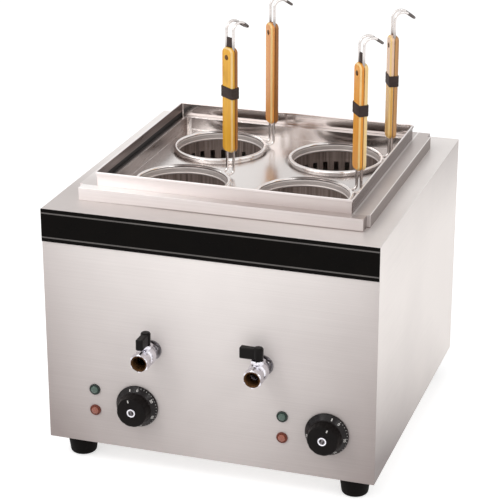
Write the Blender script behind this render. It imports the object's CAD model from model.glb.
import math
from types import SimpleNamespace as Sizes

import bmesh
import bpy
import numpy as np
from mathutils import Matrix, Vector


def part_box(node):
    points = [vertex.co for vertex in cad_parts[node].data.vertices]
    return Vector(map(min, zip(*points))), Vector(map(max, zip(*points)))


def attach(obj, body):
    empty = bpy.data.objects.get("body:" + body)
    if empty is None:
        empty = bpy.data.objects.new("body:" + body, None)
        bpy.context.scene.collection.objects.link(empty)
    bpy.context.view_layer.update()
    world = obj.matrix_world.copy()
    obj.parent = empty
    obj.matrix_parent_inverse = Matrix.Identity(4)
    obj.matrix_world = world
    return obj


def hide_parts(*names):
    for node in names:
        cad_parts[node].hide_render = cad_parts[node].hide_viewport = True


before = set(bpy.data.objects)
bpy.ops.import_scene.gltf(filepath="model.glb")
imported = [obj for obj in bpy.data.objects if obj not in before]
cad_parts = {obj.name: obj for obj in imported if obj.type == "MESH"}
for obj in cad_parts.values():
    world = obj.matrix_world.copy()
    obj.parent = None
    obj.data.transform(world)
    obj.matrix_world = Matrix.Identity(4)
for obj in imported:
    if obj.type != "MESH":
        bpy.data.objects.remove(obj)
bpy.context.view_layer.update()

# millimetres in the part's frame; shaders, lights, stepRight and rimFront are in metres
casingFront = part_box("front_panel")[0].y * 1000
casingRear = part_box("rear_panel")[1].y * 1000
trayMid = sum(corner.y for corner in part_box("basket_tray")) * 500  # halfway from its front to its rear
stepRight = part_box("step_frame")[1].x
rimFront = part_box("splash_rim")[0].y
sides = {"left": -1, "right": 1}


def addObject(name, data):
    made = bpy.data.objects.new(name, data)
    bpy.context.scene.collection.objects.link(made)
    return made


# camera
viewpoint = {"x": 774.34, "back": 2175.05, "z": 1255.43, "turn": 0.3165, "dip": 0.3739,
             "lens": 133.263, "sensor": 36, "reach": 50}


def setCamera():
    v = Sizes(**viewpoint)
    data = bpy.data.cameras.new("camera")
    data.lens, data.sensor_width, data.clip_end = v.lens, v.sensor, v.reach
    camera = addObject("camera", data)
    camera.location = np.array([v.x, casingFront - v.back, v.z]) / 1000
    camera.rotation_euler = (math.pi / 2 - v.dip, 0, v.turn)
    bpy.context.scene.camera = camera


setCamera()
print("camera set")


# shader maths
class Flow:
    # wraps a socket: operators add Math nodes, node() adds any other node
    def __init__(self, tree, socket=None):
        self.tree = tree
        self.socket = socket

    def node(self, kind, settings=None, sockets=None, output=0):
        made = self.tree.nodes.new(kind)
        for key, value in (settings or {}).items():
            setattr(made, key, value)
        for key, value in (sockets or {}).items():
            if isinstance(value, Flow):
                self.tree.links.new(value.socket, made.inputs[key])
            else:
                made.inputs[key].default_value = value
        return Flow(self.tree, made.outputs[output])

    def maths(self, operation, first, second=0.0):
        return self.node("ShaderNodeMath", {"operation": operation}, {0: first, 1: second})

    def __add__(self, other):
        return self.maths("ADD", self, other)

    def __sub__(self, other):
        return self.maths("SUBTRACT", self, other)

    def __rsub__(self, other):
        return self.maths("SUBTRACT", other, self)

    def __mul__(self, other):
        return self.maths("MULTIPLY", self, other)

    def __abs__(self):
        return self.maths("ABSOLUTE", self)

    __radd__ = __add__
    __rmul__ = __mul__

    def atLeast(self, other):
        return self.maths("MAXIMUM", self, other)

    def between(self, low, high):  # 0 below low, 1 above high, smooth in the middle
        return self.node("ShaderNodeMapRange", {"interpolation_type": "SMOOTHSTEP"},
                         {"Value": self, "From Min": low, "From Max": high})

    def within(self, rise, fall):  # 1 from the end of the rise to the start of the fall, 0 outside them
        return self.between(*rise) * (1 - self.between(*fall))

    def sway(self, amount):  # a noise as a swing to both sides of 0
        return (self - 0.5) * amount

    def tint(self, first, second):  # first colour where this is 0, second where it is 1
        return self.node("ShaderNodeMix", {"data_type": "RGBA"}, {0: self, 6: first, 7: second}, 2)

    def spot(self, scale=(1, 1, 1), place=(0, 0, 0)):  # object coordinates, stretched and moved
        here = self.node("ShaderNodeTexCoord", output="Object")
        return self.node("ShaderNodeMapping", None, {"Vector": here, "Scale": scale, "Location": place})

    def axis(self, name):  # one object coordinate, in metres
        here = self.node("ShaderNodeTexCoord", output="Object")
        return self.node("ShaderNodeSeparateXYZ", None, {0: here}, name)

    def noise(self, vector, scale=1.0, detail=2.0, rough=0.5):
        return self.node("ShaderNodeTexNoise", None,
                         {"Vector": vector, "Scale": scale, "Detail": detail, "Roughness": rough})

    def bump(self, strength, distance):
        return self.node("ShaderNodeBump", None,
                         {"Strength": strength, "Distance": distance, "Height": self})


def tone(colour):  # display colour 0 to 255 as linear light
    c = np.array(colour) / 255
    return (*np.where(c <= 0.04045, c / 12.92, ((c + 0.055) / 1.055) ** 2.4).tolist(), 1.0)


def makeLook(name, fixed, varied):
    look = bpy.data.materials.new(name)
    look.use_nodes = True
    tree = look.node_tree
    shader = tree.nodes["Principled BSDF"]
    for key, value in fixed.items():
        shader.inputs[key].default_value = value
    for key, flow in varied(Flow(tree)).items():
        tree.links.new(flow.socket, shader.inputs[key])
    return look


# stage
studio = {"floorTone": 0.8, "floorGlow": 0.6, "floorHalf": 8, "floorLevel": -0.0006, "ambient": 0.55}
lights = {"key": {"place": (-1.5, -2.1, 2.6), "aim": (0, 0, 0.25), "size": 4.2, "watts": 43},
          "spark": {"place": (-1.0, -1.5, 1.9), "aim": (0, 0, 0.25), "size": 0.45, "watts": 5},
          "fill": {"place": (2.2, -0.6, 1.5), "aim": (0, 0, 0.3), "size": 3.0, "watts": 10},
          "gleam": {"place": (1.7, -1.75, 1.75), "aim": (0, -0.2, 0.15), "size": 0.45, "watts": 4}}
white, black = (1, 1, 1, 1), (0, 0, 0, 1)


def seenDirectly(flow):  # 1 for rays from the camera, from gloss and through glass
    camera, gloss, glass = (flow.node("ShaderNodeLightPath", output=name)
                            for name in ("Is Camera Ray", "Is Glossy Ray", "Is Transmission Ray"))
    return camera.atLeast(gloss).atLeast(glass)


def setStage():
    s = Sizes(**studio)
    far, low = s.floorHalf, s.floorLevel
    mesh = bpy.data.meshes.new("floor")
    mesh.from_pydata([(-far, -far, low), (far, -far, low), (far, far, low), (-far, far, low)],
                     [], [(0, 1, 2, 3)])
    floor = addObject("floor", mesh)
    mesh.materials.append(makeLook(
        "floorWhite",
        {"Base Color": (s.floorTone, s.floorTone, s.floorTone, 1), "Roughness": 1.0,
         "Specular IOR Level": 0.0, "Emission Strength": s.floorGlow},
        lambda flow: {"Emission Color": seenDirectly(flow).tint(black, white)}))
    world = bpy.data.worlds.new("studio")
    world.use_nodes = True
    bpy.context.scene.world = world
    tree = world.node_tree
    strength = s.ambient + (1 - s.ambient) * seenDirectly(Flow(tree))
    back = tree.nodes["Background"]
    back.inputs["Color"].default_value = white
    tree.links.new(strength.socket, back.inputs["Strength"])
    for name, lamp in lights.items():
        data = bpy.data.lights.new(name, "AREA")
        data.energy, data.size = lamp["watts"], lamp["size"]
        light = addObject(name, data)
        place, aim = np.array(lamp["place"]), np.array(lamp["aim"])
        light.location = place
        way = (aim - place) / np.linalg.norm(aim - place)
        # a lamp shines down its own -Z
        light.rotation_euler = (math.acos(-way[2]), 0, math.atan2(-way[0], way[1]))
    bpy.context.scene.view_settings.view_transform = "Standard"


setStage()
print("stage set")


# looks
def metalLook(name, light, dark, grain, rough, bump=0.04, metal=1.0, fade=None):
    # brushed sheet: noise drawn out along the brushing, a slow cloud of handling marks, and where
    # "fade" gives one, the polish changing slowly over the sheet
    def varied(flow):
        streak = flow.noise(flow.spot(grain), 1.0, 3.0, 0.65)
        cloud = flow.noise(flow.spot(), 7.0, 3.0, 0.55)
        if fade:
            mixed = fade(flow) + streak.sway(0.2) + cloud.sway(0.25)
        else:
            mixed = (streak * 0.7 + cloud * 0.3).between(0.3, 0.7)
        return {"Base Color": mixed.tint(tone(dark), tone(light)),
                "Roughness": rough + streak.sway(0.14) + cloud.sway(0.12),
                "Normal": streak.bump(bump, 0.0004)}
    return makeLook(name + "Metal", {"Metallic": metal}, varied)


def plasticLook(name, light, dark, rough, gloss, grainScale, bump):
    # moulded or dipped surface: fine pitted grain with slow dull patches
    def varied(flow):
        grain = flow.noise(flow.spot(), grainScale, 2.0, 0.6)
        cloud = flow.noise(flow.spot(), 35.0, 3.0, 0.5)
        mixed = (grain * 0.4 + cloud * 0.6).between(0.3, 0.7)
        return {"Base Color": mixed.tint(tone(dark), tone(light)),
                "Roughness": rough + cloud.sway(0.2) + grain.sway(0.1),
                "Normal": grain.bump(bump, 0.0003)}
    return makeLook(name + "Plastic", {"Specular IOR Level": gloss}, varied)


def woodLook(name, pale, amber, dark, shift, top=None, topRise=(0.495, 0.515)):
    # fibres and slow bands drawn out along the grip, dark pores and grime; "top" bleaches what is above
    # the wrap
    def varied(flow):
        fibre = flow.noise(flow.spot((420, 420, 14), (shift, 0, 0)), 1.0, 4.0, 0.7)
        band = flow.noise(flow.spot((95, 95, 5), (shift, 3, 0)), 1.0, 2.0, 0.5)
        pore = flow.noise(flow.spot((1500, 1500, 55), (shift, 0, 1)), 1.0, 2.0, 0.6).between(0.62, 0.74)
        grime = flow.noise(flow.spot((30, 30, 22), (0, shift, 0)), 1.0, 3.0, 0.6).between(0.52, 0.8)
        colour = (fibre * 0.45 + band * 0.55).between(0.33, 0.66).tint(tone(amber), tone(pale))
        if top:
            colour = (0.85 * flow.axis("Z").between(*topRise)).tint(colour, tone(top))
        colour = (pore * 0.35 + grime * 0.3).tint(colour, tone(dark))
        return {"Base Color": colour, "Roughness": 0.36 + fibre * 0.16 + grime * 0.12,
                "Normal": (fibre * 0.5 - pore * 0.5).bump(0.25, 0.0004)}
    return makeLook(name + "Wood",
                    {"Specular IOR Level": 0.4, "Coat Weight": 0.25, "Coat Roughness": 0.25}, varied)


def lensLook(name, clear, deep, glow):
    # coloured cap: moulded rings under the surface, a little of its own colour from inside
    def varied(flow):
        cell = flow.noise(flow.spot(), 700.0, 2.0, 0.5)
        return {"Base Color": cell.between(0.3, 0.7).tint(tone(deep), tone(clear)),
                "Roughness": 0.16 + cell * 0.12,
                "Emission Color": cell.between(0.2, 0.8).tint(tone(deep), tone(clear)),
                "Normal": cell.bump(0.12, 0.0004)}
    return makeLook(name + "Lens", {"Specular IOR Level": 0.5, "Emission Strength": glow,
                                    "Coat Weight": 0.6, "Coat Roughness": 0.08}, varied)


# fades: 1 gives a metal its light colour, 0 its dark one; slopes are per metre
def frontFade(flow, base=0.318, up=1.81, bow=7.47):
    # brightest at the middle of the top, dullest at the low corners
    x = flow.axis("X")
    return base + up * flow.axis("Z") - bow * x * x


def sideFade(flow, base=0.98, waist=0.25, bow=14, back=3.0, backUp=10.5):
    # dullest low at the front
    z = flow.axis("Z")
    h = z - waist
    return base - bow * h * h + flow.axis("Y") * (back - backUp * z)


def deckFade(flow, base=0.22, right=1.36, back=0.68, edge=0.8, left=(0.19, 0.22),
             leftAlong=(-0.2, 0.06)):
    # brighter to the right and the rear, brightest along the left edge
    x, y = flow.axis("X"), flow.axis("Y")
    return base + right * x + back * y + edge * (0 - x).between(*left) * y.between(*leftAlong)


def stepFade(flow, base=0.3, right=0.4, left=(0.12, 0.2), leftAlong=(-0.17, 0.0), line=0.5,
             footRise=(0.1842, 0.1852), footFall=(0.1865, 0.188), soft=0.001, ahead=0.6, drop=1.1,
             dropAcross=(-0.15, 0.12)):
    # bright at the rear left, dull before the rim, bright lines at the rim's foot and the right edge
    x, y = flow.axis("X"), flow.axis("Y")
    corner = (0 - x).between(*left) * y.between(*leftAlong)
    lines = x.within(footRise, footFall) + x.between(stepRight - 2 * soft, stepRight - soft)
    front = 1 - y.between(rimFront, rimFront + 2 * soft)
    return base - right * x + corner + line * lines + front * (ahead - drop * x.between(*dropAcross))


def stepFrontFade(flow, base=0.78, line=0.75, footRise=(0.3826, 0.3842), across=(-0.19, -0.05)):
    # duller to the right, where a dark line runs along the foot
    x = flow.axis("X")
    return base - x - line * (1 - flow.axis("Z").between(*footRise)) * x.between(*across)


def rimFade(flow, base=0.5, right=2.6):  # duller to the right
    return base - right * flow.axis("X")


def trayFade(flow, base=0.78, right=2.1, lip=(-0.178, -0.172), basket=(0.09, 0.084), dull=0.55,
             rise=(0.0049, 0.0051), fall=(0.0053, 0.0059)):
    # dull along the left lip and in a ring round each basket, and duller to the right; the ring goes by
    # the square of the distance from the basket's axis
    x = flow.axis("X")
    across, along = abs(x) - basket[0], abs(flow.axis("Y") - trayMid / 1000) - basket[1]
    ring = (across * across + along * along).within(rise, fall)
    return x.between(*lip) * (base - right * x) - dull * ring


def beadFade(flow, base=0.9, dull=0.85, basket=0.084, soft=0.001, rear=(0.052, 0.062)):
    # dull on the rear of each basket's bead
    y = flow.axis("Y") - trayMid / 1000
    back = y - 2 * basket * y.between(-soft, soft) + basket
    return base - dull * back.between(*rear)


def wireFade(flow, base=1, leg=0.7, foot=(0.415, 0.43), hook=0.6, top=(0.57, 0.585)):
    # brighter at the foot and above the grip
    z = flow.axis("Z")
    return base - leg * z.between(*foot) + hook * z.between(*top)


acrossWall = (4, 4, 900)  # brushed along the length of a wall
acrossTop = (4, 900, 4)  # brushed from side to side on a top
metals = {  # light, dark, grain, roughness, bump, metal, fade
    "front": ((255, 248, 245), (162, 150, 147), acrossWall, 0.62, 0.03, 0.12, frontFade),
    "side": ((242, 235, 231), (140, 130, 128), acrossWall, 0.5, 0.03, 0.5, sideFade),
    "rear": ((226, 218, 215), (206, 198, 195), acrossWall, 0.5, 0.03, 0.5),
    "deck": ((254, 249, 246), (206, 198, 195), acrossTop, 0.45, 0.03, 0.5, deckFade),
    "step": ((255, 251, 249), (186, 175, 171), acrossTop, 0.42, 0.03, 0.6, stepFade),
    "stepFront": ((250, 243, 241), (150, 138, 134), acrossWall, 0.42, 0.03, 0.6, stepFrontFade),
    "stepShade": ((146, 134, 130), (120, 108, 104), acrossWall, 0.35, 0.03, 0.6),
    "rim": ((246, 238, 236), (214, 204, 201), acrossWall, 0.4, 0.03, 0.6, rimFade),
    "rimBack": ((232, 224, 221), (208, 199, 195), acrossWall, 0.14, 0.03),
    "rimShade": ((132, 118, 114), (96, 83, 80), acrossWall, 0.3, 0.03, 0.7),
    "rimFoot": ((26, 19, 17), (13, 9, 8), acrossWall, 0.5, 0.03, 0.5),
    "rimEdge": ((250, 244, 242), (236, 229, 227), acrossTop, 0.3, 0.02, 0.6),
    "tray": ((234, 228, 225), (150, 143, 140), (60, 900, 60), 0.22, 0.01, 1.0, trayFade),
    "trayShade": ((156, 144, 140), (126, 115, 111), (60, 60, 900), 0.3, 0.01, 0.8),
    "basket": ((238, 232, 229), (104, 93, 89), (60, 60, 500), 0.16, 0.02, 1.0, beadFade),
    "basketBand": ((230, 221, 217), (206, 196, 191), (60, 60, 500), 0.42, 0.02, 0.35),
    "cup": ((178, 160, 152), (104, 90, 84), (260, 260, 6), 0.5, 0.05, 0.4),
    "cupOutside": ((216, 207, 202), (172, 162, 157), (60, 60, 500), 0.35, 0.02, 0.7),
    "wire": ((226, 220, 217), (112, 104, 101), (300, 300, 40), 0.22, 0.02, 1.0, wireFade),
    "wireTip": ((124, 116, 113), (84, 77, 75), (300, 300, 40), 0.3, 0.02, 0.8),
    "rivet": ((118, 82, 50), (74, 50, 30), (300, 300, 300), 0.45, 0.1, 0.8),
    "tank": ((190, 184, 180), (168, 162, 158), (20, 20, 500), 0.4),
    "fastener": ((205, 203, 200), (172, 170, 168), (300, 300, 300), 0.28),
    "chrome": ((238, 236, 242), (208, 205, 212), (160, 160, 160), 0.18, 0.02),
    "brass": ((196, 158, 96), (150, 112, 60), (200, 200, 200), 0.3),
    "nut": ((132, 128, 130), (82, 78, 80), (200, 200, 200), 0.18, 0.02),
    "boreBrass": ((96, 66, 40), (40, 28, 18), (400, 1600, 400), 0.42, 0.3),
    "heater": ((120, 112, 106), (74, 66, 62), (90, 90, 90), 0.5, 0.1),
}
plastics = {  # light, dark, roughness, gloss, scale of the grain, bump
    "band": ((10, 7, 5), (6, 4, 3), 0.3, 0.05, 900.0, 0.02),
    "stripe": ((104, 100, 97), (84, 80, 78), 0.4, 0.3, 900.0, 0.02),
    "rubber": ((14, 10, 8), (8, 6, 5), 0.72, 0.1, 1400.0, 0.2),
    "wrap": ((78, 65, 61), (50, 40, 38), 0.6, 0.2, 1600.0, 0.2),
    "knob": ((18, 13, 12), (10, 7, 6), 0.4, 0.1, 1800.0, 0.06),
    "knobSkirt": ((30, 24, 24), (18, 14, 14), 0.24, 0.2, 1800.0, 0.05),
    "lever": ((17, 13, 12), (10, 7, 6), 0.34, 0.12, 900.0, 0.06),
    "print": ((226, 223, 219), (198, 195, 191), 0.55, 0.2, 1200.0, 0.03),
    "ivory": ((226, 218, 196), (206, 196, 172), 0.5, 0.3, 1200.0, 0.06),
    "greenBezel": ((40, 54, 48), (27, 37, 33), 0.35, 0.3, 1200.0, 0.05),
    "amberBezel": ((116, 54, 38), (86, 39, 27), 0.35, 0.3, 1200.0, 0.05),
    "gland": ((36, 34, 33), (22, 21, 20), 0.5, 0.3, 1500.0, 0.12),
}
lenses = {  # clear, deep, glow
    "green": ((62, 93, 79), (40, 64, 54), 0.03),
    "amber": ((162, 80, 52), (124, 58, 36), 0.05),
}
woods = {  # pale, amber, dark, shift of the grain, bleached top
    "front_left": ((252, 192, 62), (234, 162, 38), (160, 102, 28), 0.0),
    "rear_left": ((250, 174, 92), (226, 138, 56), (150, 90, 36), 7.0),
    "front_right": ((252, 176, 60), (232, 138, 36), (154, 88, 24), 13.0),
    "rear_right": ((242, 192, 104), (218, 160, 68), (146, 96, 40), 19.0, (248, 212, 186)),
    "pale": ((255, 222, 156), (248, 202, 124), (180, 122, 60), 23.0),
    "tan": ((212, 160, 100), (184, 132, 78), (116, 78, 42), 31.0),
    "dark": ((190, 126, 60), (156, 98, 44), (98, 60, 28), 29.0),
}
looks = {name: make(name, *row)
         for make, rows in ((metalLook, metals), (plasticLook, plastics), (lensLook, lenses),
                            (woodLook, woods))
         for name, row in rows.items()}
print("looks made:", len(looks))


# surfaces, in millimetres
def ringAngles(count):  # all the way round, as a column
    return np.linspace(0, 2 * np.pi, count, endpoint=False)[:, None]


def eased(corners, reach, closed=False, steps=6, most=0.48):
    # each corner becomes the curve (1-t)^2 start + 2t(1-t) corner + t^2 end, with its ends "reach" away
    # along both sides, or "most" of the shorter side where that is less
    c = np.asarray(corners, float)
    back, ahead = np.roll(c, 1, 0) - c, np.roll(c, -1, 0) - c
    backLength, aheadLength = np.linalg.norm(back, axis=1), np.linalg.norm(ahead, axis=1)
    r = np.minimum(reach, most * np.minimum(backLength, aheadLength))[:, None, None]
    t = np.linspace(0, 1, steps)[None, :, None]
    start = c[:, None] + back[:, None] / backLength[:, None, None] * r
    end = c[:, None] + ahead[:, None] / aheadLength[:, None, None] * r
    curve = ((1 - t) ** 2 * start + 2 * t * (1 - t) * c[:, None] + t ** 2 * end).reshape(-1, c.shape[1])
    if closed:
        return curve
    return np.concatenate([c[:1], curve[steps:-steps], c[-1:]])


def ringSection(inner, outer, low, high):
    return [(inner, low), (outer, low), (outer, high), (inner, high)]


def arcProfile(start, stop, count, across, up, middle=(0, 0)):
    # (across cos a, up sin a) from the middle, a from start to stop
    a = np.linspace(start, stop, count)
    return np.stack([across * np.cos(a), up * np.sin(a)], -1) + middle


def spun(r, h, a):  # (r cos a, r sin a, h)
    return np.stack([r * np.cos(a), r * np.sin(a), h + 0 * a], -1)


def turned(profile, steps=64):  # lathe: each profile point (r, h) at each angle
    return spun(*np.asarray(profile, float).T, ringAngles(steps))


def hexagon(profile, flats, steps=96):
    # lathe whose radius is at most the hexagon's, flats / 2 / cos(angle from the flat's middle)
    a = ringAngles(steps)
    r, h = np.asarray(profile, float).T
    return spun(np.minimum(r, flats / 2 / np.cos((a + np.pi / 6) % (np.pi / 3) - np.pi / 6)), h, a)


def lofted(width, depth, radius, profile, steps=8, capped=True):
    # rounded rectangle, corner centre + (radius + offset) * direction, for each profile point (offset,
    # height); a cap folds both ends onto the middle line
    angle = (np.linspace(0, np.pi / 2, steps)[None] + np.arange(4)[:, None] * np.pi / 2).ravel()
    way = np.stack([np.cos(angle), np.sin(angle)], -1)
    signs = np.repeat([[1, 1], [-1, 1], [-1, -1], [1, -1]], steps, axis=0)
    centre = signs * (np.array([width, depth]) / 2 - radius)
    offset, height = np.asarray(profile, float).T
    flat = centre[:, None] + way[:, None] * (radius + offset)[None, :, None]
    grid = np.concatenate([flat, np.broadcast_to(height[None, :, None], flat.shape[:2] + (1,))], -1)
    if not capped:
        return grid
    fold = np.array([0, 1, 1] if np.ptp(centre[:, 1]) >= np.ptp(centre[:, 0]) else [1, 0, 1])
    return np.concatenate([grid[:, :1] * fold, grid, grid[:, -1:] * fold], 1)


def tubeAlong(path, radius, across, sides=18):
    # circle carried along a path; "across" is a direction that the path never follows
    path = np.asarray(path, float)
    d = np.gradient(path, axis=0)
    d /= np.linalg.norm(d, axis=1)[:, None]
    u = np.cross(d, across)
    u /= np.linalg.norm(u, axis=1)[:, None]
    v = np.cross(d, u)
    a = ringAngles(sides)[None]
    skin = path[:, None] + radius * (np.cos(a) * u[:, None] + np.sin(a) * v[:, None])
    first, last = (np.repeat(path[i][None, None], sides, 1) for i in (0, -1))
    return np.concatenate([first, skin, last], 0)


def arcPoints(centre, radius, start, stop, first, second, count=16):
    # centre + radius (cos a first + sin a second), a from start to stop in degrees
    a = np.radians(np.linspace(start, stop, count))[:, None]
    return centre + radius * (np.cos(a) * first + np.sin(a) * second)


def swung(grid, degrees):  # x, y and z of a grid turned about local Z
    a = math.radians(degrees)
    x, y, z = np.moveaxis(grid, -1, 0)
    return x * math.cos(a) - y * math.sin(a), x * math.sin(a) + y * math.cos(a), z


def onFront(grid, x, z, turn=0.0):
    # local Z out of the front, local Y up; turned clockwise as seen from the front
    px, py, pz = swung(grid, -turn)
    return np.stack([x + px, casingFront - pz, z + py], -1)


def onRear(grid, x, z):  # local Z out of the rear
    return np.stack([x + grid[..., 0], casingRear + grid[..., 2], z - grid[..., 1]], -1)


def upright(grid, x, y, z, turn=0.0):  # turned about the vertical, then moved
    px, py, pz = swung(grid, turn)
    return np.stack([x + px, y + py, z + pz], -1)


# pieces; a sheet is a grid of points, whether its rows and its columns close, and its finish's number
mergeReach, sliver = 2e-6, 1e-7  # metres


def loop(grid, finish=0):  # closed both ways
    return grid, True, True, finish


def shell(grid, finish=0):  # closed round its axis only
    return grid, True, False, finish


def hose(grid, finish=0):  # closed round its path only
    return grid, False, True, finish


def mount(name, mesh, body, stands=()):
    piece = addObject(name, mesh)
    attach(piece, body)
    if stands:
        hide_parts(*stands)
    return piece


def makePiece(name, sheets, finishes, body, stands=(), sharp=35):
    # quads join neighbours on each sheet's grid
    points, faces, marks, count = [], [], [], 0
    for grid, closedRows, closedCols, finish in sheets:
        rows, cols = grid.shape[:2]
        i, j = np.meshgrid(np.arange(rows if closedRows else rows - 1),
                           np.arange(cols if closedCols else cols - 1), indexing="ij")
        nextRow, nextCol = (i + 1) % rows * cols, (j + 1) % cols
        quads = np.stack([i * cols + j, i * cols + nextCol, nextRow + nextCol, nextRow + j], -1)
        points.append(grid.reshape(-1, 3) / 1000)
        faces.append(quads.reshape(-1, 4) + count)
        marks.append(np.full(i.size, finish))
        count += rows * cols
    mesh = bpy.data.meshes.new(name)
    mesh.from_pydata(np.concatenate(points), [], np.concatenate(faces))
    mesh.polygons.foreach_set("material_index", np.concatenate(marks).astype(np.int32))
    for finish in finishes:
        mesh.materials.append(looks[finish])
    bm = bmesh.new()
    bm.from_mesh(mesh)
    bmesh.ops.remove_doubles(bm, verts=bm.verts, dist=mergeReach)
    bmesh.ops.dissolve_degenerate(bm, edges=bm.edges, dist=sliver)
    bmesh.ops.recalc_face_normals(bm, faces=bm.faces)
    bm.to_mesh(mesh)
    bm.free()
    mesh.shade_smooth()
    mesh.set_sharp_from_angle(angle=math.radians(sharp))
    return mount(name, mesh, body, stands)


def setLook(mesh, finish):
    mesh.materials.clear()
    mesh.materials.append(looks[finish])
    mesh.polygons.foreach_set("material_index", np.zeros(len(mesh.polygons), np.int32))


def dress(node, finish):
    setLook(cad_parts[node].data, finish)


def softened(node, width, finish, body="cabinet", shortest=40, fold=40):
    # a merged copy of the frame's mesh, its long folded edges rounded over; holes keep their cut edges
    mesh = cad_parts[node].data.copy()
    mesh.name = node + "_soft"
    bm = bmesh.new()
    bm.from_mesh(mesh)
    bmesh.ops.remove_doubles(bm, verts=bm.verts, dist=mergeReach)
    folds = [e for e in bm.edges
             if e.calc_face_angle(0) > math.radians(fold) and e.calc_length() > shortest / 1000]
    bmesh.ops.bevel(bm, geom=folds, offset=width / 1000, offset_type="OFFSET", segments=3, profile=0.5,
                    affect="EDGES")
    bm.to_mesh(mesh)
    bm.free()
    setLook(mesh, finish)
    mesh.shade_flat()
    return mount(node + "_soft", mesh, body, [node])


def refinish(piece, finish, chosen):
    # another finish for the faces that are chosen by their normals and middles
    mesh = piece.data
    count = len(mesh.polygons)
    normals, middles, marks = np.zeros(count * 3), np.zeros(count * 3), np.zeros(count, np.int32)
    mesh.polygons.foreach_get("normal", normals)
    mesh.polygons.foreach_get("center", middles)
    mesh.polygons.foreach_get("material_index", marks)
    marks[chosen(normals.reshape(-1, 3), middles.reshape(-1, 3))] = len(mesh.materials)
    mesh.materials.append(looks[finish])
    mesh.polygons.foreach_set("material_index", marks)


anywhere = 999  # past every face


def facing(way, low=(-anywhere,) * 3, high=(anywhere,) * 3, least=0.75):
    # faces that look that way, where their middles lie between two corners
    def chosen(normals, middles):
        spots = middles * 1000
        return (normals @ np.array(way, float) > least) & np.all((spots > low) & (spots < high), 1)
    return chosen


def awayFrom(x, y):
    # faces that look away from the upright axis at x, y
    def chosen(normals, middles):
        return np.sum(normals[:, :2] * (middles[:, :2] - np.array([x, y]) / 1000), 1) > 0
    return chosen


# casing
casing = {"edge": 0.45, "stepShortest": 15, "bandEdge": 0.35, "trayEdge": 0.4, "trayShade": -165,
          "panels": {"front_panel": "front", "left_side_panel": "side", "right_side_panel": "side",
                     "rear_panel": "rear", "top_deck": "deck"},
          "plain": {"base_pan": "tank", "fascia_stripes": "stripe", "terminal_block": "ivory",
                    "left_tank": "tank", "right_tank": "tank", "tank_divider_cap": "tank",
                    "heater_nuts": "brass", "temperature_sensors": "brass", "thermostats": "ivory",
                    "drain_pipes": "tank", "foot_screws": "fastener", "left_shaft": "fastener",
                    "right_shaft": "fastener"}}


def makeCasing():
    c = Sizes(**casing)
    for node, finish in c.panels.items():
        softened(node, c.edge, finish)
    step = softened("step_frame", c.edge, "step", shortest=c.stepShortest)
    refinish(step, "stepShade", facing((1, 0, 0)))
    refinish(step, "stepFront", facing((0, -1, 0)))
    softened("fascia_band", c.bandEdge, "band")
    tray = softened("basket_tray", c.trayEdge, "tray", "tray")
    refinish(tray, "trayShade", facing((1, 0, 0), high=(c.trayShade, anywhere, anywhere)))
    for node, finish in c.plain.items():
        dress(node, finish)


makeCasing()
print("casing dressed")

splash = {"width": 368, "depth": 347, "corner": 4, "wall": 1.5, "height": 20, "hem": 1.5,
          "hemHeight": 4, "foot": 7, "base": 400.0, "bends": [0.1, 0.1, 1.3, 1.3, 0.9, 0.2, 0.1]}


def makeSplashRim():
    # section of a sheet whose top edge is folded outwards, carried round a rounded rectangle
    s = Sizes(**splash)
    hemLow = s.height - s.hemHeight
    section = eased([(-s.wall, 0), (-s.wall, s.foot), (-s.wall, s.height), (s.hem, s.height),
                     (s.hem, hemLow), (0, hemLow), (0, 0)], s.bends, closed=True, steps=5)
    grid = lofted(s.width, s.depth, s.corner, section, capped=False)
    rim = makePiece("splashRim", [loop(upright(grid, 0, trayMid, s.base))], ["rim"], "cabinet",
                    ["splash_rim"])
    refinish(rim, "rimShade", facing((1, 0, 0)))
    refinish(rim, "rimBack", facing((0, -1, 0), low=(-anywhere, trayMid, 0)))
    refinish(rim, "rimFoot", facing((1, 0, 0), high=(0, anywhere, s.base + s.foot)))
    refinish(rim, "rimEdge", facing((0, 0, 1)))


makeSplashRim()


# feet and rear
feet = {"inset": 36, "half": 240, "floor": 18.5, "top": 21.5, "height": 34, "straight": 12, "recess": 8,
        "hole": 3.2, "recessHeight": 12, "bends": [0.8, 4, 4, 1.2, 0.1, 0.1, 0.5]}


def makeFeet():
    f = Sizes(**feet)
    grid = turned(eased([(f.recess, 0), (f.floor, 0), (f.top, f.height - f.straight), (f.top, f.height),
                         (f.hole, f.height), (f.hole, f.recessHeight), (f.recess, f.recessHeight)],
                        f.bends, closed=True))
    far, middle = f.half - f.inset, (casingFront + casingRear) / 2
    sheets = [loop(upright(grid, x * far, middle + y * far, 0)) for x in (-1, 1) for y in (-1, 1)]
    makePiece("rubberFeet", sheets, ["rubber"], "cabinet", ["rubber_feet"])


makeFeet()

rearScrews = {"across": 233, "heights": (64, 160, 256, 352), "head": 4, "rise": 2.4, "curve": 2.6,
              "rings": 22, "shank": 2, "length": 8, "slot": 0.55, "slotSlope": 0.15, "reach": 2.5,
              "reachSlope": 0.25, "deep": 1.1}


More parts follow.
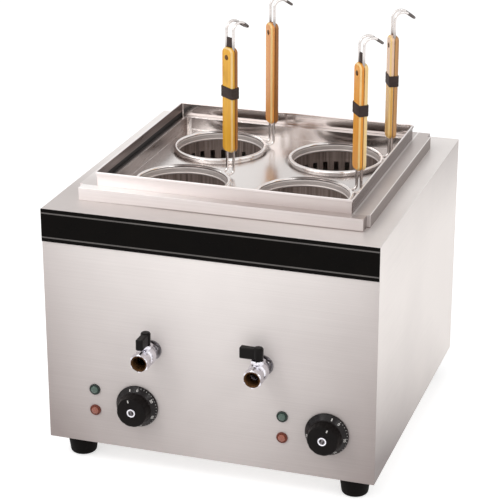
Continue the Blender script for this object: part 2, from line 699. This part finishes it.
def makeRearScrews():
    # dome rise (1 - (r / head)^curve), less a recess where |x| or |y| is under the slot's half width
    s = Sizes(**rearScrews)
    r = np.concatenate([np.linspace(0, s.head, s.rings), [s.shank, s.shank, 0]])
    a = ringAngles(72)
    x, y = r * np.cos(a), r * np.sin(a)
    arm = np.clip((s.slot + s.slotSlope - np.minimum(abs(x), abs(y))) / s.slotSlope, 0, 1)
    reach = np.clip((s.reach - np.hypot(x, y)) / s.reachSlope, 0, 1)
    dome = s.rise * (1 - np.minimum(r / s.head, 1) ** s.curve) - s.deep * arm * reach
    dome[:, s.rings] = 0
    dome[:, s.rings + 1:] = -s.length
    grid = np.stack([x, y, dome], -1)
    sheets = [shell(onRear(grid, side * s.across, z)) for side in (-1, 1) for z in s.heights]
    makePiece("rearScrews", sheets, ["fastener"], "cabinet", ["rear_screws"], 28)


makeRearScrews()

gland = {"x": 150, "z": 94, "bore": 6.5, "thread": 10, "flats": 26, "flange": 6, "flangeTip": 14.7,
         "flangeBends": [0, 1.2, 1.4, 0], "nutInner": 10.2, "nutTip": 14.6, "nut": (-1.2, -6.2),
         "nutBends": [0, 0.8, 0.8, 0],
         "dome": [(6.5, -13.2), (10, -13.2), (10, 6), (12.5, 6.6), (12, 14), (8.8, 18), (6.5, 18)],
         "domeBends": [0.3, 0.4, 0.3, 0.5, 2.5, 1.2, 0.6],
         "ribs": 18, "ribHeight": 0.45, "ribFlat": 1.6, "ribLow": 7.2, "ribHigh": 15}


def makeGland():
    # the dome's radius swings with cos(ribs * a), cut off flat at both ends of the swing
    g = Sizes(**gland)
    flange = eased(ringSection(g.thread, g.flangeTip, 0, g.flange), g.flangeBends, closed=True)
    nut = eased(ringSection(g.nutInner, g.nutTip, *g.nut), g.nutBends, closed=True)
    r, h = eased(g.dome, g.domeBends, closed=True).T
    a = ringAngles(144)
    ribbed = (h > g.ribLow) & (h < g.ribHigh) & (r > g.thread)
    rib = g.ribHeight * np.clip(np.cos(g.ribs * a) * g.ribFlat, -1, 1) * ribbed
    grids = hexagon(flange, g.flats), spun(r + rib, h, a), hexagon(nut, g.flats)
    makePiece("cableGland", [loop(onRear(grid, g.x, g.z)) for grid in grids], ["gland"], "cabinet",
              ["cable_gland"])


makeGland()
print("rim, feet and rear made")


# heating tubes
heaters = {"radius": 4.25, "pitch": 36, "z": 186.2, "middle": 90.85, "front": -124.0, "rear": 124.0,
           "tail": 196.2}


def makeHeaters():
    # two hairpins in line: straights joined by half circles of half the pitch
    h = Sizes(**heaters)
    p = h.pitch
    bends = [arcPoints((x, y, 0), p / 2, 180, stop, (1, 0, 0), (0, 1, 0))
             for x, y, stop in ((-p, h.front, 360), (0, h.rear, 0), (p, h.front, 360))]
    flat = np.concatenate([[(-1.5 * p, h.tail, 0)], *bends, [(1.5 * p, h.tail, 0)]])
    for name, side in sides.items():
        path = flat * (side, 1, 1) + (side * h.middle, trayMid, h.z)
        makePiece(name + "Heater", [hose(tubeAlong(path, h.radius, (0, 0, 1)))], ["heater"], "cabinet",
                  [name + "_heater"])


makeHeaters()


# lamps
lamps = {"columns": (-168.0, 108.5), "heights": {"green": 118.5, "amber": 86.5}, "bezel": 8,
         "bezelHeight": 2.5, "bends": [0.1, 0.5, 1.2, 0.2, 0, 0.4, 0, 0], "play": 0.2, "core": 0.05,
         "lens": 5.5, "rise": 2, "curve": 0.8, "ripple": 0.12, "ripples": 18, "rippled": (0.1, 0.85),
         "sink": 1, "body": 6.5, "behind": 24}


def makeLamps():
    # lens: flattened dome (lens cos^curve, rise sin) over a quarter turn, rippled by moulded rings
    m = Sizes(**lamps)
    hole = m.lens + m.play
    ring = eased([(hole, -m.sink), (hole, m.bezelHeight), (m.bezel, m.bezelHeight), (m.bezel, 0),
                  (m.body, 0), (m.body, -m.behind), (m.core, -m.behind), (m.core, -m.sink)],
                 m.bends, closed=True)
    t = np.linspace(0, 1, 14)
    low, high = m.rippled
    dome = np.stack([m.lens * np.cos(t * np.pi / 2) ** m.curve,
                     m.bezelHeight + m.rise * np.sin(t * np.pi / 2)], -1)
    dome[:, 1] += m.ripple * np.cos(t * m.ripples) * (t < high) * (t > low)
    lens = np.concatenate([[(0, -m.sink), (m.lens, -m.sink)], dome])
    lens[-1, 0] = 0
    for name, z in m.heights.items():
        makePiece(name + "Bezels", [loop(onFront(turned(ring, 48), x, z)) for x in m.columns],
                  [name + "Bezel"], "cabinet", ["lamp_bezels"])
        makePiece(name + "Lenses", [shell(onFront(turned(lens, 48), x, z)) for x in m.columns],
                  [name], "cabinet", [name + "_lenses"])


makeLamps()
print("lamps made")


# thermostat knobs
knobs = {"places": {"left": (-104.0, -14.0), "right": (172.5, 22.0)}, "z": 102.5, "skirt": 31.0,
         "gap": 1.0, "edge": 2.5, "coneTop": 10.5, "gripRear": 23.5, "gripFront": 21.5, "front": 26.0,
         "gripFoot": [(24.1, 10.1), (23.5, 11.9)], "gripSide": (0.12, 0.88, 9),
         "flutes": 12, "fluteDepth": 0.35, "fluteInner": 19.9, "fluteLow": 10.8, "fluteRise": 2.5,
         "recess": 6.45, "recessDepth": 1.2, "recessEdge": 0.5, "shaftHole": 3.05, "shaftDepth": 18.0,
         "bends": [0, 0.2, 0.5, 0.8, 0.8, 1.0, 2.2, 0.2, 0.2, 0], "bendSteps": 7}
gripStart = 4 * knobs["bendSteps"] + 2  # the shell's first point past the skirt
gripEnd = 5 * knobs["bendSteps"] + 1  # the profile's first point past the grip's straight side


def knobShell():
    # lathe whose grip radius loses depth * ((1 - cos(flutes * a)) / 2)^3 between skirt and front edge
    k = Sizes(**knobs)
    floor = k.front - k.recessDepth
    profile = eased([(k.shaftHole, k.shaftDepth), (k.shaftHole, k.gap), (k.skirt, k.gap),
                     (k.skirt, k.gap + k.edge), *k.gripFoot, (k.gripFront, k.front),
                     (k.recess + k.recessEdge, k.front), (k.recess, k.front - k.recessEdge),
                     (k.recess, floor)], k.bends, steps=k.bendSteps)
    rear, front = profile[gripEnd - 1], profile[gripEnd]
    side = rear + (front - rear) * np.linspace(*k.gripSide)[:, None]
    r, h = np.concatenate([[(0, k.shaftDepth)], profile[:gripEnd], side, profile[gripEnd:],
                           [(0, floor)]]).T
    a = ringAngles(240)
    onGrip = (r > k.fluteInner) & (h > k.coneTop)
    rise = np.clip((h - k.fluteLow) / k.fluteRise, 0, 1)
    return spun(r - k.fluteDepth * ((1 - np.cos(k.flutes * a)) / 2) ** 3 * onGrip * rise, h, a)


dials = {"numbers": ("0", "30", "60", "90", "110"), "firstAngle": -20.0, "stepAngle": -54.0,
         "size": 5.4, "bold": 0.12, "radius": 26.8, "lift": 0.12, "ticks": 26, "tick": (0.25, 3.4, 4.6),
         "offMark": (0.8, -2.0, 2.0), "offAngle": 4.0, "pointer": (0.9, 15.6, 19.6),
         "pointerLift": 0.08}


def onSkirt(across, along, angle):
    # a flat drawing laid just over the skirt's cone, its top outwards, at an angle from upright,
    # anticlockwise
    k, d = Sizes(**knobs), Sizes(**dials)
    run, rise = k.gripRear - k.skirt, k.coneTop - k.gap - k.edge
    length = math.hypot(run, rise)
    base = k.gap + k.edge + (d.radius - k.skirt) / run * rise
    radius = d.radius - along * run / length + d.lift * rise / length
    height = base - along * rise / length - d.lift * run / length
    return spun(radius, height, np.radians(90 + angle) - across / d.radius)


def flatText(word):
    # a word as a flat mesh, its middle at the origin, in millimetres
    curve = bpy.data.curves.new("number", "FONT")
    curve.body = word
    curve.size = dials["size"]
    curve.align_x = curve.align_y = "CENTER"
    curve.resolution_u = 3
    curve.offset = dials["bold"]
    holder = addObject("number", curve)
    mesh = bpy.data.meshes.new_from_object(holder.evaluated_get(bpy.context.evaluated_depsgraph_get()))
    co = np.zeros(len(mesh.vertices) * 3)
    mesh.vertices.foreach_get("co", co)
    faces = [tuple(p.vertices) for p in mesh.polygons]
    bpy.data.objects.remove(holder)
    bpy.data.curves.remove(curve)
    bpy.data.meshes.remove(mesh)
    return co.reshape(-1, 3), faces


def bar(half, low, high):  # a rectangle's corners
    return np.array([-half, half, half, -half]), np.array([low, low, high, high])


def makeDial(side, x, turn):
    # numbers, ticks and pointer, printed as thin faces just above the knob
    d = Sizes(**dials)
    points, faces, count = [], [], 0

    def add(grid, drawn=((0, 1, 2, 3),)):
        nonlocal count
        points.append(onFront(grid, x, knobs["z"], turn))
        faces.extend(tuple(v + count for v in face) for face in drawn)
        count += len(grid)

    for i, word in enumerate(d.numbers):
        flat, drawn = flatText(word)
        add(onSkirt(flat[:, 0], flat[:, 1], d.firstAngle + i * d.stepAngle), drawn)
    sweep = (len(d.numbers) - 1) * d.stepAngle
    for i in range(d.ticks):
        add(onSkirt(*bar(*d.tick), d.firstAngle + i * sweep / (d.ticks - 1)))
    add(onSkirt(*bar(*d.offMark), d.offAngle))
    across, along = bar(*d.pointer)
    add(np.stack([across, along, 0 * along + knobs["front"] + d.pointerLift], -1))
    mesh = bpy.data.meshes.new(side + "Dial")
    mesh.from_pydata(np.concatenate(points) / 1000, [], faces)
    mesh.materials.append(looks["print"])
    mount(side + "Dial", mesh, side + "_knob")


knobCaps = {"radius": 6.2, "depth": 1.2, "rise": 0.6, "ring": 4.4, "lip": 0.2, "well": 0.35,
            "bends": [0, 0.1, 0.5, 0.15, 0], "slot": (1.4, 5.0), "corner": 0.5, "slotSink": 0.2,
            "slotRise": 0.06, "pitch": 4.4}


def makeCap(side, x, turn):
    # turned ring round a shallow well, with two slots across the well
    c, front = Sizes(**knobCaps), knobs["front"]
    low, high = front - c.depth, front + c.rise
    inner, floor = c.ring - c.lip, high - c.well
    ring = eased([(0, low), (c.radius, low), (c.radius, high), (c.ring, high), (inner, floor)], c.bends,
                 steps=5)
    slot = lofted(*c.slot, c.corner, [(0, floor - c.slotSink), (0, floor + c.slotRise)], 4)
    grids = [(turned(ring, 48), 0), (turned([(inner, floor), (0, floor)], 48), 1)]
    grids += [(slot + (way * c.pitch / 2, 0, 0), 2) for way in (-1, 1)]
    sheets = [shell(onFront(grid, x, knobs["z"], turn), finish) for grid, finish in grids]
    makePiece(side + "KnobCap", sheets, ["chrome", "nut", "knob"], side + "_knob",
              [side + "_knob_cap"], 30)


def makeKnobs():
    for side, (x, turn) in knobs["places"].items():
        skin = onFront(knobShell(), x, knobs["z"], turn)
        makePiece(side + "Knob", [shell(skin[:, :gripStart + 1]), shell(skin[:, gripStart:], 1)],
                  ["knobSkirt", "knob"], side + "_knob", [side + "_knob"], 40)
        makeDial(side, x, turn)
        makeCap(side, x, turn)


makeKnobs()
print("knobs made")


# drain taps
taps = {"x": 81.0, "z": 192.0, "ball": 22.0, "reach": 50.0, "pipe": 10.4, "neckPipe": 9.9,
        "housing": 14.4, "spigot": 7.2, "water": 7.0, "seat": 11.2,
        "collar": [(9.9, 34.2), (11.8, 34.6), (11.8, 32), (9.9, 31.4)], "collarBends": [0, 0.5, 0.3, 0],
        "flats": 24.0, "hexLength": 15.0, "hexLap": 0.4, "hexEdge": 11.6, "hexCut": 1.1,
        "outlet": 9.3, "outletDepth": 12.0, "mouth": 0.9, "thread": 0.28, "threadPitch": 1.8,
        "nutFlats": 23.4, "nutInner": 10.6, "nutFlange": 14.5, "flangeDepth": 2, "nutRear": 0.5,
        "nutDepth": 6.0, "flangeBends": [0, 0.1, 0.6, 0],
        "neck": 8.5, "neckLow": 11.4, "neckHigh": 16.9, "neckTop": 17.5, "neckBend": 0.2,
        "packFlats": 17.8, "packHeight": 5.0, "stem": 4.0, "stemHole": 4.05, "stemLow": 9.0,
        "ballRadius": 11.0}


def hexTip(flats):  # radius to a hexagon's corner
    return flats / 2 / math.cos(math.pi / 6)


def chamferedHex(flats, low, high, inner, slope=0.55, chamfer=0.3):
    # ring of hexagonal section whose corners are turned down at both ends
    tip, edge = hexTip(flats), flats / 2 - chamfer
    cut = (tip - flats / 2) * slope
    return hexagon([(inner, low), (edge, low), (tip, low + cut), (tip, high - cut), (edge, high),
                    (inner, high)], flats)


def makeTaps():
    t = Sizes(**taps)
    reach, start, tip = t.reach, t.reach - t.hexLength, hexTip(t.flats)
    ball, seatEdge = (0, t.ball), math.acos(t.water / t.seat)
    globe = arcProfile(-math.acos(t.pipe / t.housing), math.acos(t.neckPipe / t.housing), 27,
                       t.housing, t.housing, ball)
    seat = arcProfile(seatEdge, -seatEdge, 25, t.seat, t.seat, ball)  # hollow round the ball
    end = start + t.hexLap
    body = turned(np.concatenate([[(t.water, -t.spigot), (t.pipe, -t.spigot)], globe,
                                  [(t.neckPipe, end), (t.water, end)], seat]), 72)
    collar = turned(eased(t.collar, t.collarBends, closed=True, steps=4), 72)
    outside = hexagon([(t.water, start), (t.hexEdge, start), (tip, start + t.hexCut),
                       (tip, reach - t.hexCut), (t.hexEdge, reach)], t.flats)
    depth = np.linspace(t.mouth, t.outletDepth, 46)
    ridges = t.thread * np.sin(depth * 2 * np.pi / t.threadPitch)  # turned thread rings
    thread = np.stack([t.outlet + ridges, reach - depth], -1)
    bore = hexagon(np.concatenate([[(t.hexEdge, reach), (t.outlet + t.mouth, reach)], thread,
                                   [(t.water, reach - t.outletDepth), (t.water, start)]]), t.flats)
    neck = turned(eased(ringSection(t.stemHole, t.neck, t.neckLow, t.neckHigh), t.neckBend, closed=True,
                        steps=3))
    pack = chamferedHex(t.packFlats, t.neckTop - t.packHeight, t.neckTop, t.stemHole)
    nut = chamferedHex(t.nutFlats, t.nutRear, t.nutDepth, t.nutInner)
    flange = turned(eased(ringSection(t.nutInner, t.nutFlange, 0, t.flangeDepth), t.flangeBends,
                          closed=True, steps=4), 72)
    for name, side in sides.items():
        x = side * t.x
        sheets = [loop(onFront(body, x, t.z)), loop(onFront(collar, x, t.z)),
                  shell(onFront(outside, x, t.z)), shell(onFront(bore, x, t.z), 1)]
        sheets += [loop(upright(grid, x, casingFront - t.ball, t.z)) for grid in (neck, pack)]
        makePiece(name + "TapBody", sheets, ["chrome", "boreBrass"], "cabinet",
                  [name + "_tap_body"], 30)
    sheets = [loop(onFront(grid, side * t.x, t.z)) for side in sides.values() for grid in (nut, flange)]
    makePiece("tapNuts", sheets, ["nut"], "cabinet", ["tap_nuts"], 30)


makeTaps()

levers = {"angles": {"left": 270.0, "right": 180.0}, "length": 26.0, "width": 10.4, "behind": 6.5,
          "corner": 2.4, "high": 34.2,
          "paddle": [(-0.8, 18.4), (0, 19.2), (0, 33.0), (-1.3, 34.2)], "paddleBends": [0, 0.6, 1.2, 0],
          "hub": [(4.05, 18.1), (6.6, 18.1), (7.0, 33.2), (6.2, 34.4), (4.05, 34.4)],
          "hubBends": [0, 0.6, 1.0, 0.6, 0],
          "cap": [(6.3, 34.2), (6.3, 34.7), (5.3, 35.5), (0, 35.5)], "capBends": [0, 0.5, 0.6, 0]}


def makeLevers():
    # paddle: rounded rectangle lofted through an eased profile; hub, cap, stem and ball are turned, the
    # ball drilled as the lever lies
    v, t = Sizes(**levers), Sizes(**taps)
    paddle = lofted(v.length + v.behind, v.width, v.corner, eased(v.paddle, v.paddleBends))
    paddle[..., 0] += (v.length - v.behind) / 2
    hub = turned(eased(v.hub, v.hubBends, closed=True, steps=5), 56)
    cap = turned(np.concatenate([[(0, v.high)], eased(v.cap, v.capBends)]), 56)
    ballEdge = math.acos(t.water / t.ballRadius)
    ball = turned(arcProfile(-ballEdge, ballEdge, 25, t.ballRadius, t.ballRadius))[..., [2, 0, 1]]
    stem = turned([(0, t.stemLow), (t.stem, t.stemLow), (t.stem, v.high), (0, v.high)], 48)
    for name, angle in v.angles.items():
        place = (sides[name] * t.x, casingFront - t.ball, t.z, angle)
        makePiece(name + "TapLever", [shell(upright(paddle, *place)), loop(upright(hub, *place))],
                  ["lever"], name + "_tap_lever", [name + "_tap_lever"], 40)
        makePiece(name + "TapStem", [loop(upright(ball, *place)), shell(upright(stem, *place)),
                                     shell(upright(cap, *place), 1)],
                  ["nut", "lever"], name + "_tap_lever", [name + "_tap_ball"], 40)


makeLevers()
print("taps made")


# baskets; the ridge's points go from the inside of the wall, the outside's from the outside
baskets = {
    "places": {"front_left": (-90.0, -84.0, 48.0), "rear_left": (-90.0, 84.0, 30.0),
               "front_right": (90.0, -84.0, 29.0), "rear_right": (90.0, 84.0, 18.0)},
    "seat": 384.5, "radius": 65.0, "wall": 1.0,
    "bead": 3.2, "beadAt": (67.27, 1.6), "beadArc": (165, -30),
    "ridge": [(0, -20), (0, -8.6), (-0.9, -7.8), (-0.9, -6.8), (0, -6.0), (0, -0.4), (0.35, 0.7),
              (0.6, 1.5)], "ridgeBend": 0.3,
    "outside": [(1.2, 0), (0, -0.8), (0, -19.7), (-0.3, -20), (-1, -20)],
    "handleOut": 79.0, "twist": 10.0, "wire": 2.0, "spread": 7.5, "foot": 12.63, "footHeight": 2.5,
    "footBend": 6.0, "hookHeight": 210.5, "hook": 12.0, "hookBend": 125.0, "hookTip": 6.0,
    "tipSteps": 24, "weld": (3.0, 2.4), "weldIn": 1.2, "weldUp": 0.4}


def atHandle(grid, place):
    # out from the basket's axis along the handle's direction, then turned a little further about itself
    b = Sizes(**baskets)
    x, y, angle = place
    a = math.radians(angle)
    return upright(grid, x + b.handleOut * math.cos(a), trayMid + y + b.handleOut * math.sin(a), b.seat,
                   angle + b.twist)


def wirePath():
    # foot, bend, leg, hook and half loop for one side, then the same backwards for the other
    b = Sizes(**baskets)
    ahead, up = (1, 0, 0), (0, 0, 1)
    legs = []
    for y in (b.spread, -b.spread):
        bend = arcPoints((-b.footBend, y, b.footHeight + b.footBend), b.footBend, -90, 0, ahead, up, 10)
        top = arcPoints((b.hook, y, b.hookHeight), b.hook, 180, 180 - b.hookBend, ahead, up, 20)
        rise = np.linspace(bend[-1], top[0], 12)[1:-1]
        legs.append(np.concatenate([[(-b.foot, y, b.footHeight)], bend, rise, top]))
    t = math.radians(b.hookBend)
    slope = np.array([math.sin(t), 0, math.cos(t)])
    end = np.array([b.hook * (1 - math.cos(t)), 0, b.hookHeight + b.hook * math.sin(t)])
    tip = arcPoints(end + b.hookTip * slope, b.spread, 0, 180, (0, 1, 0), slope, b.tipSteps)
    return np.concatenate([legs[0], tip, legs[1][::-1]])


def makeBaskets():
    b = Sizes(**baskets)
    bead = arcProfile(*np.radians(b.beadArc), 26, b.bead, b.bead, b.beadAt)
    ridge = eased(np.array(b.ridge) + (b.radius - b.wall, 0), b.ridgeBend, steps=4)  # pressed ring
    edge = np.concatenate([ridge[-1:], bead, np.array(b.outside) + (b.radius, 0)])
    beadEnd = len(bead) + 1
    half = math.radians(b.hookBend / 2 - 90)
    path = wirePath()
    wire = tubeAlong(path, b.wire, (math.sin(half), 0, math.cos(half)))
    legEnd = (len(path) - b.tipSteps) // 2
    tipEnd = legEnd + b.tipSteps + 1
    weld = turned(arcProfile(-np.pi / 2, np.pi / 2, 12, *b.weld), 20)  # flattened drop
    rings = (edge[:beadEnd + 1], 0), (edge[beadEnd:], 4), (ridge[1:], 1), (ridge[:2], 3)
    wires = (wire[:legEnd + 1], 2), (wire[legEnd:tipEnd + 1], 5), (wire[tipEnd:], 2)
    welds = [weld + (b.weldIn - b.foot, y, b.footHeight + b.weldUp) for y in (-b.spread, b.spread)]
    finishes = ["basket", "basketBand", "wire", "cup", "cupOutside", "wireTip"]
    for name, place in b.places.items():
        x, y = place[0], trayMid + place[1]
        sheets = [shell(upright(turned(part, 128), x, y, b.seat), finish) for part, finish in rings]
        sheets += [hose(atHandle(part, place), finish) for part, finish in wires]
        sheets += [shell(atHandle(part, place), 2) for part in welds]
        makePiece(name + "_rimAndWire", sheets, finishes, name + "_basket",
                  [name + "_basket_frame"], 50)
        dress(name + "_basket_cup", "cup")
        refinish(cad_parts[name + "_basket_cup"], "cupOutside", awayFrom(x, y))


makeBaskets()

slats = {"width": 23.0, "length": 154.0, "corner": 8.0, "gap": 0.6, "thick": 5.8, "bevel": 2.2,
         "low": 33.5, "edge": 0.5, "bends": [0, 0.4, 0.9, 0], "bevelStart": 9, "bevelEnd": 12,
         "backs": {"front_left": "dark", "rear_left": "dark", "front_right": "pale",
                   "rear_right": "tan"}}
rivets = {"height": 173.5, "head": 3.8, "rise": 1.2, "half": 6.4, "shank": 2.0}


def makeGrips():
    # slat: rounded outline lofted through a bevelled profile, standing on edge; the pair mirrors across
    # the wire, and the inner one's bevel is paler
    s, r = Sizes(**slats), Sizes(**rivets)
    face = s.gap + s.thick
    profile = eased([(-s.edge, s.gap), (0, s.gap + s.edge), (0, face - s.bevel), (-s.bevel, face)],
                    s.bends, steps=5)
    flat = lofted(s.width, s.length, s.corner, profile, 10)
    slat = np.stack([flat[..., 2], flat[..., 0], s.low + s.length / 2 + flat[..., 1]], -1)
    head = arcProfile(0, np.pi / 2, 8, r.head, r.rise, (0, r.half))
    head[-1, 0] = 0
    shank = [(r.shank, -r.half), (r.shank, r.half)]
    pin = turned(np.concatenate([head[::-1] * (1, -1), shank, head]), 32)
    pin = np.stack([pin[..., 2], pin[..., 1], r.height + pin[..., 0]], -1)
    for name, place in baskets["places"].items():
        inner, outer = (atHandle(slat * (side, 1, 1), place) for side in (-1, 1))
        pair = [shell(inner[:, s.bevelEnd:]), shell(inner[:, :s.bevelStart + 1]),
                shell(inner[:, s.bevelStart:s.bevelEnd + 1], 1), shell(outer, 2)]
        makePiece(name + "_slats", pair, [name, "pale", s.backs[name]], name + "_basket",
                  [name + "_grip"], 38)
        makePiece(name + "_rivetHeads", [shell(atHandle(pin, place))], ["rivet"], name + "_basket",
                  [name + "_rivet"], 50)


makeGrips()

wraps = {"wedged": {"front_left": True, "front_right": True, "rear_right": False}, "middle": 122.5,
         "height": 16.0, "thick": 0.9, "dip": 0.22, "turns": 3, "slant": 0.055, "play": 0.1,
         "corner": 1.2}
wedges = {"width": 4.0, "depth": 10.6, "corner": 1.4, "bends": [0, 0.4, 1.0, 0],
          "profile": [(-0.7, 0), (0, 0.6), (0, 12.6), (-1.2, 14.0)]}


def makeWraps():
    # band round the grip: its thickness swells and dips as the root of |sin| over the turns, and it lies
    # a little aslant; a wedge sits above some of the grips
    w, s, e = Sizes(**wraps), Sizes(**slats), Sizes(**wedges)
    deep, wide = 2 * (s.gap + s.thick) + w.play, s.width + w.play
    t = np.linspace(0, 1, 31)
    swell = w.thick * (1 - w.dip + w.dip * np.sqrt(abs(np.sin(t * np.pi * w.turns))))
    profile = np.concatenate([[(0, 0)], np.stack([swell, t * w.height], -1), [(0, w.height)]])
    band = lofted(deep, wide, w.corner, profile, 6, capped=False)
    band[..., 2] += w.middle - w.height / 2 + w.slant * band[..., 1]
    wedge = lofted(e.width, e.depth, e.corner, eased(e.profile, e.bends, steps=5), 6)
    for name, wedged in w.wedged.items():
        place = baskets["places"][name]
        sheets = [loop(atHandle(band, place))]
        if wedged:
            sheets.append(shell(atHandle(wedge + (0, 0, s.low + s.length), place)))
        makePiece(name + "_woundRubber", sheets, ["wrap"], name + "_basket",
                  [name + "_wrap"], 60)


makeWraps()
print("baskets made")


# sizes and finish
print("sizes written")
